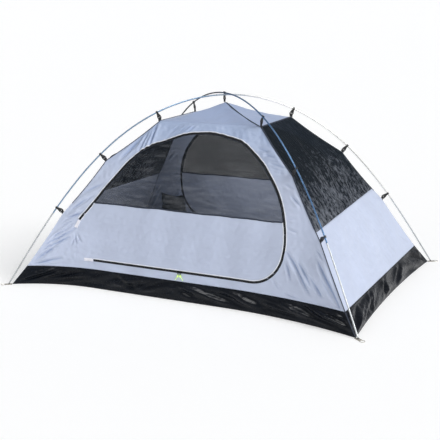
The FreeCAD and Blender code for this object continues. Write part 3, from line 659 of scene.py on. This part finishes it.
def corner_folds(count, seed):
    """Fine folds that run up from the low left corner towards the door's sewn side."""
    rng = np.random.default_rng(seed)
    folds = []
    for i in range(count):
        z = TUB_Z + 0.02 + 0.28 * (i + 0.9 * rng.random()) / count
        x = -firm_half(z) + 0.02 + 0.06 * rng.random()
        length = rng.uniform(0.04, 0.15)
        slope = math.radians(rng.uniform(24, 40))
        folds.append((x, z, x + length * math.cos(slope), z + length * math.sin(slope),
                      rng.uniform(0.004, 0.0070), rng.uniform(0.0014, 0.0032)))
    return folds


FOLDS += corner_folds(11, 3)


def painted_fold_shade(x, z):
    """Painted fold shade: from 0 on smooth cloth to 1 at the bottom of a deep fold, where the cloth is
    painted darker and cooler.
    """
    depth = sum(crease(x, z, (*fold[:4], fold[4] * 0.62, fold[5])) for fold in FOLDS)
    return np.clip(-depth / 0.0036, 0, 1)


def wall_relief(x, z, s, seed):
    """Height of the front wall's wrinkles above its smooth surface."""
    relief = 0.0022 * ripples(x, z, seed, 60, 40, 0.16, 0.50)
    relief += 0.0006 * ripples(x, z, seed + 1, 20, 50, 0.025, 0.07, 22)
    for fold in FOLDS:
        relief = relief + 2.4 * crease(x, z, fold)
    corner = (1 - np.abs(s)) * firm_half(z)
    fade = rise(corner, 0.0, 0.030) * rise(z, TUB_Z, TUB_Z + 0.022) * rise(ROOF_Z - z, 0.0, 0.020)
    track = rise(np.abs(z - ZIP_LOW_Z), 0.012, 0.045) + rise(np.abs(x + 0.03), 0.50, 0.62)
    return relief * fade * np.clip(track, 0, 1)


def share_of(x, z):
    """Share of the half length at which the front wall has this x."""
    s = x / half_length(np.zeros_like(x), z)
    for _ in range(4):
        s = x / half_length(s, z)
    return s


def wall_at(s, z, lift=0.0, seed=FRONT_SEED):
    """Point of the wrinkled front wall, with lift above it."""
    base = wall_base(s, z)
    normal = normals_of(wall_base, s, z)
    relief = wall_relief(base[..., 0], z, s, seed)
    return base + normal * (relief + lift)[..., None]


def wall_point(x, z, lift=0.0, seed=FRONT_SEED):
    return wall_at(share_of(x, z), z, lift, seed)


def wall_normal(x, z):
    return normals_of(wall_base, share_of(x, z), z)


# -------- the zip's line
def outline(step):
    """Points (x, z) of the door's outline: up from the hinge, round the door and back along the bottom."""
    points = [np.array(ZIP_PATH[0])]

    def run(start, end):
        count = max(2, int(np.linalg.norm(end - start) / step))
        points.extend(start + (end - start) * i / count for i in range(1, count + 1))

    def arc(start, heading, end):
        chord = end - start
        turn = 2 * (math.atan2(chord[1], chord[0]) - heading)
        radius = np.linalg.norm(chord) / (2 * math.sin(turn / 2))
        centre = start + radius * np.array([-math.sin(heading), math.cos(heading)])
        count = max(2, int(abs(radius * turn) / step))
        arm = start - centre
        for i in range(1, count + 1):
            a = turn * i / count
            points.append(centre + np.array([arm[0] * math.cos(a) - arm[1] * math.sin(a),
                                             arm[0] * math.sin(a) + arm[1] * math.cos(a)]))
        return heading + turn

    path = [np.array(p) for p in ZIP_PATH]
    run(path[0], path[1])
    heading = math.atan2(*(path[1] - path[0])[::-1])
    for start, end in zip(path[1:], path[2:]):
        heading = arc(start, heading, end)
    normal = heading - math.pi / 2
    radius = (path[-1][1] - ZIP_LOW_Z) / (1 - math.sin(normal))
    corner = np.array([path[-1][0] + radius * math.cos(normal), ZIP_LOW_Z])
    arc(path[-1], heading, corner)
    zip_end = np.array([ZIP_END_X, ZIP_LOW_Z])
    run(corner, zip_end)
    zipped = np.array(points)
    run(zip_end, np.array([HINGE_X, ZIP_LOW_Z]))
    run(np.array([HINGE_X, ZIP_LOW_Z]), path[0])
    return zipped, np.array(points[:-1])


def even(path, step):
    """The same line with evenly spaced points."""
    length = length_along(path)
    count = max(2, int(length[-1] / step))
    places = np.linspace(0, length[-1], count + 1)
    return np.stack([np.interp(places, length, path[:, i]) for i in range(path.shape[1])], -1)


ZIPPED, LOOP = outline(0.006)


def along_wall(path, profile, seed, wave=None):
    """Rings of a strip laid on the front wall along a path of (x, z); profile holds (across, lift)."""
    x, z = path[:, 0], path[:, 1]
    base = wall_point(x, z, seed=seed)
    normal = wall_normal(x, z)
    aside = np.cross(normal, unit(np.gradient(base, axis=0)))
    rings = []
    for across, lift in profile:
        spot = base + aside * across
        height = np.full(len(x), lift)
        if wave is not None:
            height = height + wave(across, lift)
        rings.append(wall_point(spot[:, 0], np.clip(spot[:, 2], TUB_Z, ROOF_Z), height, seed))
    return np.stack(rings, axis=1)


def strip(a, b, low, high, rounding=0.3):
    """Profile of a flat strip: from a to b across, from low to high above the wall."""
    edge = (high - low) * rounding
    top = [(a + edge, high), ((a + b) / 2, high), (b - edge, high)]
    return [(a, low), (a, high - edge), *top, (b, high - edge), (b, low)]


# -------- front and back walls
RING_MIDDLE = np.array([0.0, 0.52])     # share of the half length and height that the ring's rows run from


def wall_strip(name, face, path, shape, paint, seed, body="tent"):
    """Flat strip of cloth along a path on a side wall."""
    rings = on_side(face, along_wall(path, shape, seed))
    middle = (shape[0][0] + shape[-1][0]) / 2
    return sweep(name, rings, paint, body, across=[place - middle for place, _ in shape])


def hang_on_door(obj):
    """Bakes the piece's transform into its mesh."""
    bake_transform(obj)


def ring_panel(seed):
    """Cloth round the door: from the door's outline out to the wall's four edges."""
    centre = RING_MIDDLE
    hole = np.stack([share_of(LOOP[:, 0], LOOP[:, 1]), LOOP[:, 1]], -1)
    angle = np.unwrap(np.arctan2(hole[:, 1] - centre[1], hole[:, 0] - centre[0]))
    order = np.argsort(angle)
    angle, hole = angle[order], hole[order]
    corners = [math.atan2(z - centre[1], s - centre[0]) for z in (TUB_Z, ROOF_Z) for s in (-1, 1)]
    low = angle[0]
    places = np.unique(np.concatenate([angle, [low + (c - low) % (2 * math.pi) for c in corners]]))
    wrapped = np.concatenate([angle, [angle[0] + 2 * math.pi]])
    inner = np.stack([np.interp(places, wrapped, np.append(hole[:, i], hole[0, i])) for i in range(2)], -1)
    way = inner - centre
    edge = np.where(way[:, 1] > 0, ROOF_Z, TUB_Z) - centre[1]
    with np.errstate(divide="ignore"):
        reach = np.minimum(1 / np.abs(way[:, 0]), edge / way[:, 1])
    outer = centre + way * reach[:, None]
    steps = np.linspace(0, 1, 60)[:, None, None]
    grid = inner[None] + (outer - inner)[None] * steps
    grid[-1, :, 1] = np.clip(grid[-1, :, 1], TUB_Z, ROOF_Z)
    points = wall_at(grid[..., 0], grid[..., 1], seed=seed)
    # the second value is the painted fold shade of each point
    return points, painted_fold_shade(points[..., 0], points[..., 2])


def door_rows(heights, columns, seed):
    """Rows of points inside the outline, at those heights."""
    top = int(np.argmax(LOOP[:, 1]))
    left = LOOP[:top + 1]
    right = LOOP[top:]
    lowest = np.where(np.abs(right[:, 1] - ZIP_LOW_Z) < 1e-9)[0][0]
    right = right[:lowest + 1][::-1]
    side = np.concatenate([[[HINGE_X, ZIP_LOW_Z]], left])
    starts = np.interp(heights, side[:, 1], side[:, 0])
    ends = np.interp(heights, right[:, 1], right[:, 0])
    part = np.linspace(0, 1, columns)
    x = starts[:, None] + (ends - starts)[:, None] * part[None]
    z = np.broadcast_to(heights[:, None], x.shape)
    return wall_point(x, z, seed=seed)


def net_billow(grid, seed, depth):
    """Small gathers in a mesh window, none at its edges."""
    ends, edge = (np.clip(6 * np.minimum(np.linspace(0, 1, n), np.linspace(1, 0, n)), 0, 1)
                  for n in grid.shape[:2])
    fade = edge[None] * ends[:, None]
    x, z = grid[..., 0] + grid[..., 1], grid[..., 2]
    push = depth * ripples(x, z, seed, 90, 16, 0.03, 0.12, 20)
    push += 2.2 * depth * ripples(x, z, seed + 5, 20, 30, 0.2, 0.5)
    return push * fade


def zip_rows(face, seed):
    """Both halves of the zip: coil and tape, the outer half on the tent and the inner one on the door."""
    coil_path = even(ZIPPED, 0.0013)
    tape_path = even(ZIPPED, 0.006)
    tooth = np.where(np.arange(len(coil_path)) % 2 == 0, 0.00005, -0.0001)
    for side, word, body in ((1, "outer", "tent"), (-1, "inner", None)):
        a, b = side * 0.00008, side * 0.0026
        profile = [(a, -0.0014), (a, 0.0002), ((a + b) / 2, 0.0003), (b, 0.0002), (b, -0.0014)]
        rings = along_wall(coil_path, profile[::side], seed, lambda across, lift: tooth * (lift > -0.001))
        coil = sweep(f"{face}_zip_coil_{word}", on_side(face, rings), COIL, body)
        low, high = sorted((side * 0.0024, side * 0.0070))
        rings = along_wall(tape_path, strip(low, high, -0.0012, 0.0002), seed)
        across = [place for place, _ in strip(low, high, 0, 0.001)]
        tape = sweep(f"{face}_zip_tape_{word}", on_side(face, rings), TAPE, body, across=across)
        if side > 0:
            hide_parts(f"{face}_zip_chain")
        else:
            hang_on_door(coil)
            hang_on_door(tape)
        zip_hems(face, seed, tape_path, side, word, body)


def zip_hems(face, seed, path, side, word, body):
    """Folded edges beside the tape: whiter with a painted highlight where they face up into the light, plain
    cloth colour on the outer half's lower part, dark where they bind the mesh.
    """
    top = int(np.argmax(path[:, 1]))
    mesh_left = int(np.argmax(path[:, 1] > MESH_Z))
    mesh_right = top + int(np.argmax(path[top:, 1] < MESH_Z))
    low_right = top + int(np.argmax(path[top:, 1] < 0.36))
    last = len(path) - 1
    # the whiter hem colour is a painted highlight, laid where the folded edge faces up into the light
    if side > 0:
        parts = (("high", 0, low_right, HEM_HIGHLIGHT, 0.0128, 0.0015),
                 ("low", low_right, last, PALE, 0.0118, 0.0010))
    else:
        parts = (("left", 0, mesh_left, HEM_HIGHLIGHT, 0.0110, 0.0010),
                 ("mesh", mesh_left, mesh_right, BINDING, 0.0095, 0.0008),
                 ("low", mesh_right, last, HEM_HIGHLIGHT, 0.0128, 0.0015))
    for part, first, end, paint, reach, height in parts:
        shape = strip(*sorted((side * 0.0066, side * reach)), -0.0004, height, 0.6)
        name = f"{face}_zip_hem_{word}_{part}"
        hem = wall_strip(name, face, path[first:end + 1], shape, paint, seed, body)
        if side < 0:
            hang_on_door(hem)


def patch_on_wall(name, face, centre, size, heading, seed, body="tent"):
    """Small sewn reinforcement, lying on the wall."""
    a, b = np.meshgrid(np.linspace(-0.5, 0.5, 13), np.linspace(-0.5, 0.5, 7))
    a, b = a * size[0], b * size[1]
    x = centre[0] + a * math.cos(heading) - b * math.sin(heading)
    z = centre[1] + (a * math.sin(heading) + b * math.cos(heading)) * 0.98
    lift = 0.0013 + 0.0003 * np.sin(a / size[0] * 40)
    grid = on_side(face, wall_point(x, z, lift, seed))
    return sheet_from(name, grid, PATCH, body=body)


def make_side(face, seed):
    """Front or back wall with its door, zip, seams and patches."""
    # tone is the painted fold shade, which darkens the wall's cloth at the bottom of its folds
    points, tone = ring_panel(seed)
    sheet_from(f"{face}_wall", on_side(face, points), PALE, f"{face}_panel",
               flat=(0.29, 3.95), loop=True, fold=tone)
    low_rows = ZIP_LOW_Z + (MESH_Z - ZIP_LOW_Z) * np.linspace(0, 1, 52) ** 1.6
    grid = on_side(face, door_rows(low_rows, 150, seed))
    cloth = sheet_from(f"{face}_door_cloth", grid, PALE, f"{face}_door", body=None)
    top = LOOP[:, 1].max()
    high_rows = top - (top - MESH_Z) * np.linspace(0.015, 1, 52)[::-1] ** 1.6
    grid = door_rows(high_rows, 150, seed)
    normal = np.array([0.0, -0.88, 0.47])
    grid = on_side(face, grid + net_billow(grid, seed, 0.0007)[..., None] * normal)
    net = sheet_from(f"{face}_door_net", grid, MESH, f"{face}_door_mesh", body=None, thick=NET)
    (x0, z0), (x1, z1) = ZIP_PATH[:2]
    left = np.interp(MESH_Z, [z0, z1], [x0, x1]) + 0.012
    row = np.linspace((left, MESH_Z), (0.588, MESH_Z), 140)
    shape = strip(-0.004, 0.004, -0.0017, 0.0011, 0.4)
    seam = wall_strip(f"{face}_door_seam", face, row, shape, BINDING, seed, None)
    row = np.linspace((HINGE_X, ZIP_LOW_Z), (HINGE_X, z0), 60)
    shape = strip(-0.004, 0.004, -0.0006, 0.0007, 0.6)
    hinge = wall_strip(f"{face}_door_fold", face, row, shape, PALE, seed, None)
    for piece in (cloth, net, seam, hinge):
        hang_on_door(piece)
    zip_rows(face, seed)
    name = f"{face}_patch_high"
    patch = patch_on_wall(name, face, (-0.714, 0.372), (0.050, 0.020), math.radians(66), seed, None)
    hang_on_door(patch)
    patch_on_wall(f"{face}_patch_low", face, (-0.633, 0.1655), (0.058, 0.018), 0.0, seed)
    row = np.linspace((-0.985, TUB_Z + 0.006), (0.985, TUB_Z + 0.006), 300)
    wall_strip(f"{face}_tub_seam", face, row, strip(-0.005, 0.005, -0.0004, 0.0011, 0.5), PALE, seed)


make_side("front", FRONT_SEED)
make_side("back", BACK_SEED)


# -------- ends
# y, z at both ends, half width and depth, in millimetres
END_FOLDS = in_metres(
    (450, 470, 530, 445, 7, 3), (420, 455, 500, 430, 6, 2), (-550, 400, -470, 430, 7, 2),
    (-640, 160, -550, 240, 9, 3), (640, 160, 540, 220, 9, 3),
)


def end_relief(y, z, t, seed, net):
    """Height of an end wall's wrinkles, on its mesh or its cloth."""
    if net:
        relief = 0.0014 * ripples(y, z, seed, 90, 14, 0.018, 0.07, 24)
        relief += 0.0036 * ripples(y, z, seed + 1, 60, 35, 0.12, 0.40)
    else:
        relief = 0.0020 * ripples(y, z, seed, 45, 50, 0.15, 0.5)
        relief += 0.0006 * ripples(y, z, seed + 1, 30, 50, 0.03, 0.08, 20)
        for fold in END_FOLDS:
            relief = relief + crease(y, z, fold)
    corner = (1 - np.abs(t)) * firm_half(z) * RATIO
    return relief * rise(corner, 0, 0.025) * rise(z, TUB_Z, TUB_Z + 0.02) * rise(ROOF_Z - z, 0, 0.02)


def end_at(t, z, seed, net=False):
    base = end_base(t, z)
    normal = normals_of(end_base, t, z)
    relief = end_relief(base[..., 1], z, t, seed, net) * rise(np.abs(z - end_seam(t)), 0.0, 0.03)
    return base + normal * relief[..., None]


def end_seam(t):
    """Height of the seam between an end's cloth and its mesh: lower towards the front."""
    return MESH_Z - 0.028 * ((1 - t) / 2) ** 1.3


def make_end(word, seed):
    t, part = np.meshgrid(np.linspace(-1, 1, 150), np.linspace(0, 1, 50))
    z = TUB_Z + (end_seam(t) - TUB_Z) * part
    grid = on_side(word, end_at(t, z, seed))
    sheet_from(f"{word}_end_cloth", grid, PALE, f"{word}_end_panel")
    t, part = np.meshgrid(np.linspace(-1, 1, 170), np.linspace(0, 1, 70))
    z = end_seam(t) + (ROOF_Z - end_seam(t)) * part
    grid = on_side(word, end_at(t, z, seed, True))
    sheet_from(f"{word}_end_net", grid, END_MESH, f"{word}_end_mesh", thick=NET)


make_end("right", 23)
make_end("left", 59)


# -------- roof
def roof_base(u, v):
    """Roof over the square u, v from -1 to 1; its hips run along the diagonals and sag a little."""
    ring = np.maximum(np.abs(u), np.abs(v))
    soft = (np.abs(u) ** 14 + np.abs(v) ** 14) ** (1 / 14.0)
    ring = np.minimum(np.where(ring > 0, 0.35 * ring + 0.65 * np.minimum(soft, 1.0), 0), 1.0)
    top = LEVELS[-1]
    height = PEAK_Z - (PEAK_Z - ROOF_Z) * ring - 0.010 * np.sin(math.pi * ring)
    return np.stack([u * top[1], v * RATIO * top[1], height], -1)


def make_roof():
    u, v = np.meshgrid(np.linspace(-1, 1, 97), np.linspace(-1, 1, 69))
    grid = roof_base(u, v)
    ring = np.maximum(np.abs(u), np.abs(v))
    relief = 0.0014 * ripples(grid[..., 0], grid[..., 1], 5, 40, 50, 0.10, 0.30)
    relief += 0.0004 * ripples(grid[..., 0], grid[..., 1], 6, 55, 40, 0.02, 0.06, 20)
    grid[..., 2] += relief * rise(1 - ring, 0, 0.12) * rise(ring, 0, 0.15)
    sheet_from("roof_cloth", grid, SHADED_ROOF, "roof_panel")


make_roof()


# -------- tub and groundsheet
# the same for the long and the short tub walls
TUB_FOLDS = in_metres(
    (-1050, 12, -860, 75, 9, 7), (-1040, 20, -790, 100, 8, 7), (-1000, 18, -700, 85, 9, 7),
    (-950, 12, -620, 60, 9, 6), (-880, 30, -660, 90, 8, 4), (1050, 20, 620, 100, 8, 8),
    (1040, 12, 700, 70, 9, 8), (1050, 50, 800, 104, 8, 7), (1000, 8, 550, 45, 9, 7),
    (960, 45, 660, 108, 7, 5), (900, 20, 500, 80, 7, 5), (-300, 20, -140, 85, 10, 6),
    (-50, 85, 100, 30, 12, 6), (100, 90, 270, 45, 12, 6), (-440, 80, -300, 35, 12, 6),
)
END_TUB_FOLDS = in_metres(
    (-700, 15, -520, 95, 10, 7), (-620, 12, -400, 75, 10, 6), (-360, 20, -300, 100, 16, 8),
    (-100, 20, -20, 100, 18, 9), (160, 20, 280, 90, 16, 8), (700, 15, 560, 95, 10, 7),
    (620, 15, 420, 80, 10, 5),
)


def tub_sheet(word, base, count, folds, seed):
    s, z = np.meshgrid(np.linspace(-1, 1, count), np.linspace(0, TUB_Z, 22))
    points = base(s, z)
    normal = normals_of(base, s, z)
    along = points[..., 0] if base is tub_base else points[..., 1]
    reach = np.sqrt(along ** 2 + 0.01)
    relief = 0.0042 * ripples(reach, z, seed, -17, 13, 0.045, 0.13, 12)
    relief += 0.0011 * np.abs(ripples(reach, z, seed + 1, -14, 26, 0.02, 0.05, 22))
    relief += 0.003 * ripples(along, z, seed + 2, 80, 20, 0.25, 0.6, 8)
    for fold in folds:
        relief = relief + 1.3 * crease(along, z, fold)
    part = z / TUB_Z
    belly = 0.006 * np.sin(math.pi * part)
    corner = rise(1 - np.abs(s), 0, 0.05)
    fade = rise(part, 0, 0.3) * rise(1 - part, 0, 0.25)
    points = points + normal * ((relief * fade + belly) * corner)[..., None]
    points[..., 2] = np.maximum(points[..., 2], 0.0012)
    sheet_from(f"{word}_tub", on_side(word, points), TUB, f"{word}_tub_wall")


tub_sheet("front", tub_base, 330, TUB_FOLDS, 71)
tub_sheet("back", tub_base, 330, TUB_FOLDS, 83)
tub_sheet("right", tub_end_base, 230, END_TUB_FOLDS, 91)
tub_sheet("left", tub_end_base, 230, END_TUB_FOLDS, 97)


def make_floor_cloth():
    """Groundsheet: spanned between the four floor edges."""
    u, v = np.meshgrid(np.linspace(-1, 1, 121), np.linspace(-1, 1, 85))
    zero = np.zeros_like(u)
    front = tub_base(u, zero)
    back = half_turn(tub_base(-u, zero))
    right = tub_end_base(v, zero)
    left = half_turn(tub_end_base(-v, zero))
    a, b = ((v + 1) / 2)[..., None], ((u + 1) / 2)[..., None]
    low, high = LEVELS[0][1], RATIO * LEVELS[0][1]
    corners = np.stack([u * low, v * high, zero], -1)
    grid = front * (1 - a) + back * a + left * (1 - b) + right * b - corners
    edge = rise(1 - np.maximum(np.abs(u), np.abs(v)), 0, 0.06)
    waves = 0.5 + 0.5 * np.tanh(ripples(grid[..., 0], grid[..., 1], 31, 30, 60, 0.08, 0.3, 18))
    grid[..., 2] = 0.0014 + 0.004 * waves * edge
    sheet_from("floor_cloth", grid, TUB, "groundsheet")


make_floor_cloth()


# -------- bindings
def tube_along(points, out, half_width, half_height, lift):
    """Rings of a soft flat cord along points, its flat side facing out."""
    out = np.broadcast_to(out, points.shape)
    side = unit(np.cross(out, unit(np.gradient(points, axis=0))))
    turn = np.linspace(0, 2 * math.pi, 13)[:-1]
    across, height = half_width * np.cos(turn), lift + half_height * np.sin(turn)
    return np.stack([points + side * a + out * h for a, h in zip(across, height)], axis=1), across


def binding(name, points, out, half_width, lift, paint=None, turned=False):
    """Bound seam along points; out is the way that it faces."""
    rings, across = tube_along(points, out, half_width, 0.0016, lift)
    sweep(f"{name}_binding", rings[:, ::-1] if turned else rings, paint or BINDING, across=across)


def make_bindings():
    seam_z = MESH_Z - 0.012
    foot = (LEVELS[0][1], -RATIO * LEVELS[0][1], 0.002)
    high = wall_base(np.ones(60), np.linspace(seam_z, ROOF_Z, 60))
    low = wall_base(np.ones(40), np.linspace(TUB_Z, seam_z, 40))
    tub = np.linspace(foot, low[0], 20)
    out = unit(np.array([0.62, -0.62, 0.48]))
    corners = (("front_right", 1, 1), ("back_left", -1, -1), ("front_left", -1, 1), ("back_right", 1, -1))
    for word, x, y in corners:
        flip = np.array([x, y, 1.0])
        # the low corner edges at front left and back right take the whiter hem colour, a painted highlight
        # along their folds
        low_paint = BINDING if x == y else HEM_HIGHLIGHT
        for part, points, paint, slot, half, lift in (
                ("high", high, BINDING, "canopy_cloth", 0.0048, -0.0006),
                ("low", low, low_paint, "canopy_cloth", 0.0030, -0.0006),
                ("tub", tub, BINDING, "tub_cloth", 0.0035, -0.0010)):
            binding(f"{word}_{part}", points * flip, out * flip, half, lift, paint, x != y)
    hip = np.linspace(0.02, 1.0, 40)
    for word, sign in (("front_right", 1), ("back_left", -1)):
        binding(f"{word}_hip", roof_base(hip * sign, -hip * sign), (0.0, 0.0, 1.0), 0.0042, 0.0006)
    span = np.linspace(-1, 1, 60)
    for word, sign in (("right", 1.0), ("left", -1.0)):
        binding(f"{word}_eave", roof_base(np.full(60, sign), span), (0.7 * sign, 0.0, 0.7), 0.0042, 0.0)


make_bindings()


# -------- mesh pockets
def make_pocket(word, seed):
    x0, x1 = 0.600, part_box("mesh_pockets")[1][0]
    a, b = np.meshgrid(np.linspace(0, 1, 50), np.linspace(0, 1, 36))
    z = 0.135 + 0.190 * b - 0.012 * np.sin(math.pi * a) * b
    x = x0 + (x1 - x0) * a * (1 - 0.12 * b)
    wall = wall_point(x, z, seed=seed)
    depth = 0.007 + 0.010 * np.sin(math.pi * a) * b + 0.002 * ripples(x, z, 8, 70, 20, 0.02, 0.07)
    grid = on_side(word, wall + np.array([0.0, 1.0, 0.0]) * depth[..., None])
    net = sheet_from(f"{word}_pocket_net", grid, MESH, thick=NET)
    rings, across = tube_along(grid[-1], (0.0, 0.0, 1.0), 0.0035, 0.002, 0.0)
    sweep(f"{word}_pocket_rim", rings, BINDING, across=across)
    return net


front_pocket = make_pocket("front", FRONT_SEED)
make_pocket("back", BACK_SEED)
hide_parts("mesh_pockets")


# -------- carried-over CAD pieces
def finish_nodes():
    """Materials of the pieces that keep their CAD shape, by the ends of their names."""
    table = {
        "foot_sections": SILVER, "pole_ferrules": SILVER, "pole_shock_cords": ELASTIC, "pole_tips": NYLON,
        "_clip": PLASTIC, "clip_webbing_tabs": WEBBING, "corner_straps": STRAP, "corner_grommets": STEEL,
        "stake_rings": STEEL, "_slider": ENAMEL, "_pull": ENAMEL,
    }
    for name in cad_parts:
        obj = bpy.data.objects.get(name)
        tube = LOWER_TUBE if name.startswith("lower_pole") else UPPER_TUBE
        table.update(dict.fromkeys(("lower_sections", "upper_sections", "crown_section"), tube))
        for ending, paint in table.items():
            if obj is not None and name.endswith(ending):
                obj.data.materials.clear()
                obj.data.materials.append(paint.mat)


finish_nodes()


# -------- studio
def make_floor(far=400.0, z=-0.0004):
    data = bpy.data.meshes.new("studio_floor")
    corners = [(-far, -far, z), (far, -far, z), (far, far, z), (-far, far, z)]
    data.from_pydata(corners, [], [(0, 1, 2, 3)])
    obj = add("studio_floor", data)
    paint = Paint("studio floor", (0.60, 0.60, 0.60), 0.9,
                  Emission_Strength=0.46, Emission_Color=(*WHITE, 1.0))
    data.materials.append(paint.mat)


def make_world():
    """Soft light that is brighter from the sides than from above."""
    world = bpy.data.worlds.new("studio")
    world.use_nodes = True
    nodes, links = world.node_tree.nodes, world.node_tree.links
    coord = nodes.new("ShaderNodeTexCoord")
    split = nodes.new("ShaderNodeSeparateXYZ")
    ramp = nodes.new("ShaderNodeValToRGB")
    ramp.color_ramp.elements.new(0.5)
    for point, (at, level) in zip(ramp.color_ramp.elements, ((0.0, 0.80), (0.5, 0.44), (1.0, 0.24))):
        point.position = at
        point.color = (level * 0.95, level * 0.97, level, 1.0)
    links.new(coord.outputs["Generated"], split.inputs["Vector"])
    links.new(split.outputs["Z"], ramp.inputs["Fac"])
    links.new(ramp.outputs["Color"], nodes["Background"].inputs["Color"])
    nodes["Background"].inputs["Strength"].default_value = 1.0
    scene.world = world


def make_lamp(name, kind, energy):
    """Lamp and the object that holds it."""
    lamp = bpy.data.lights.new(name, kind)
    lamp.energy = energy
    return lamp, add(name, lamp)


def make_lamps():
    """Daylight that comes in through the thin cloth, and three suns given by strength, width and heading."""
    lamp, holder = make_lamp("inside", "POINT", 22.0)
    lamp.shadow_soft_size = 0.25
    holder.location = (0.0, 0.0, 0.55)
    holder.visible_camera = False
    holder.visible_glossy = False
    for name, strength, angle, towards in (("key", 2.3, 28, (-0.80, 0.10, -0.62)),
                                           ("fill", 0.35, 60, (0.3, 0.9, -0.35)),
                                           ("gleam", 1.40, 22, (0.05, 0.30, -0.95))):
        lamp, holder = make_lamp(name, "SUN", strength)
        lamp.angle = math.radians(angle)
        holder.rotation_euler = Vector(towards).to_track_quat("-Z", "Y").to_euler()
        holder.visible_glossy = name != "fill"
        holder.visible_diffuse = name != "gleam"


make_floor()
make_world()
make_lamps()
scene.view_settings.view_transform = "Standard"
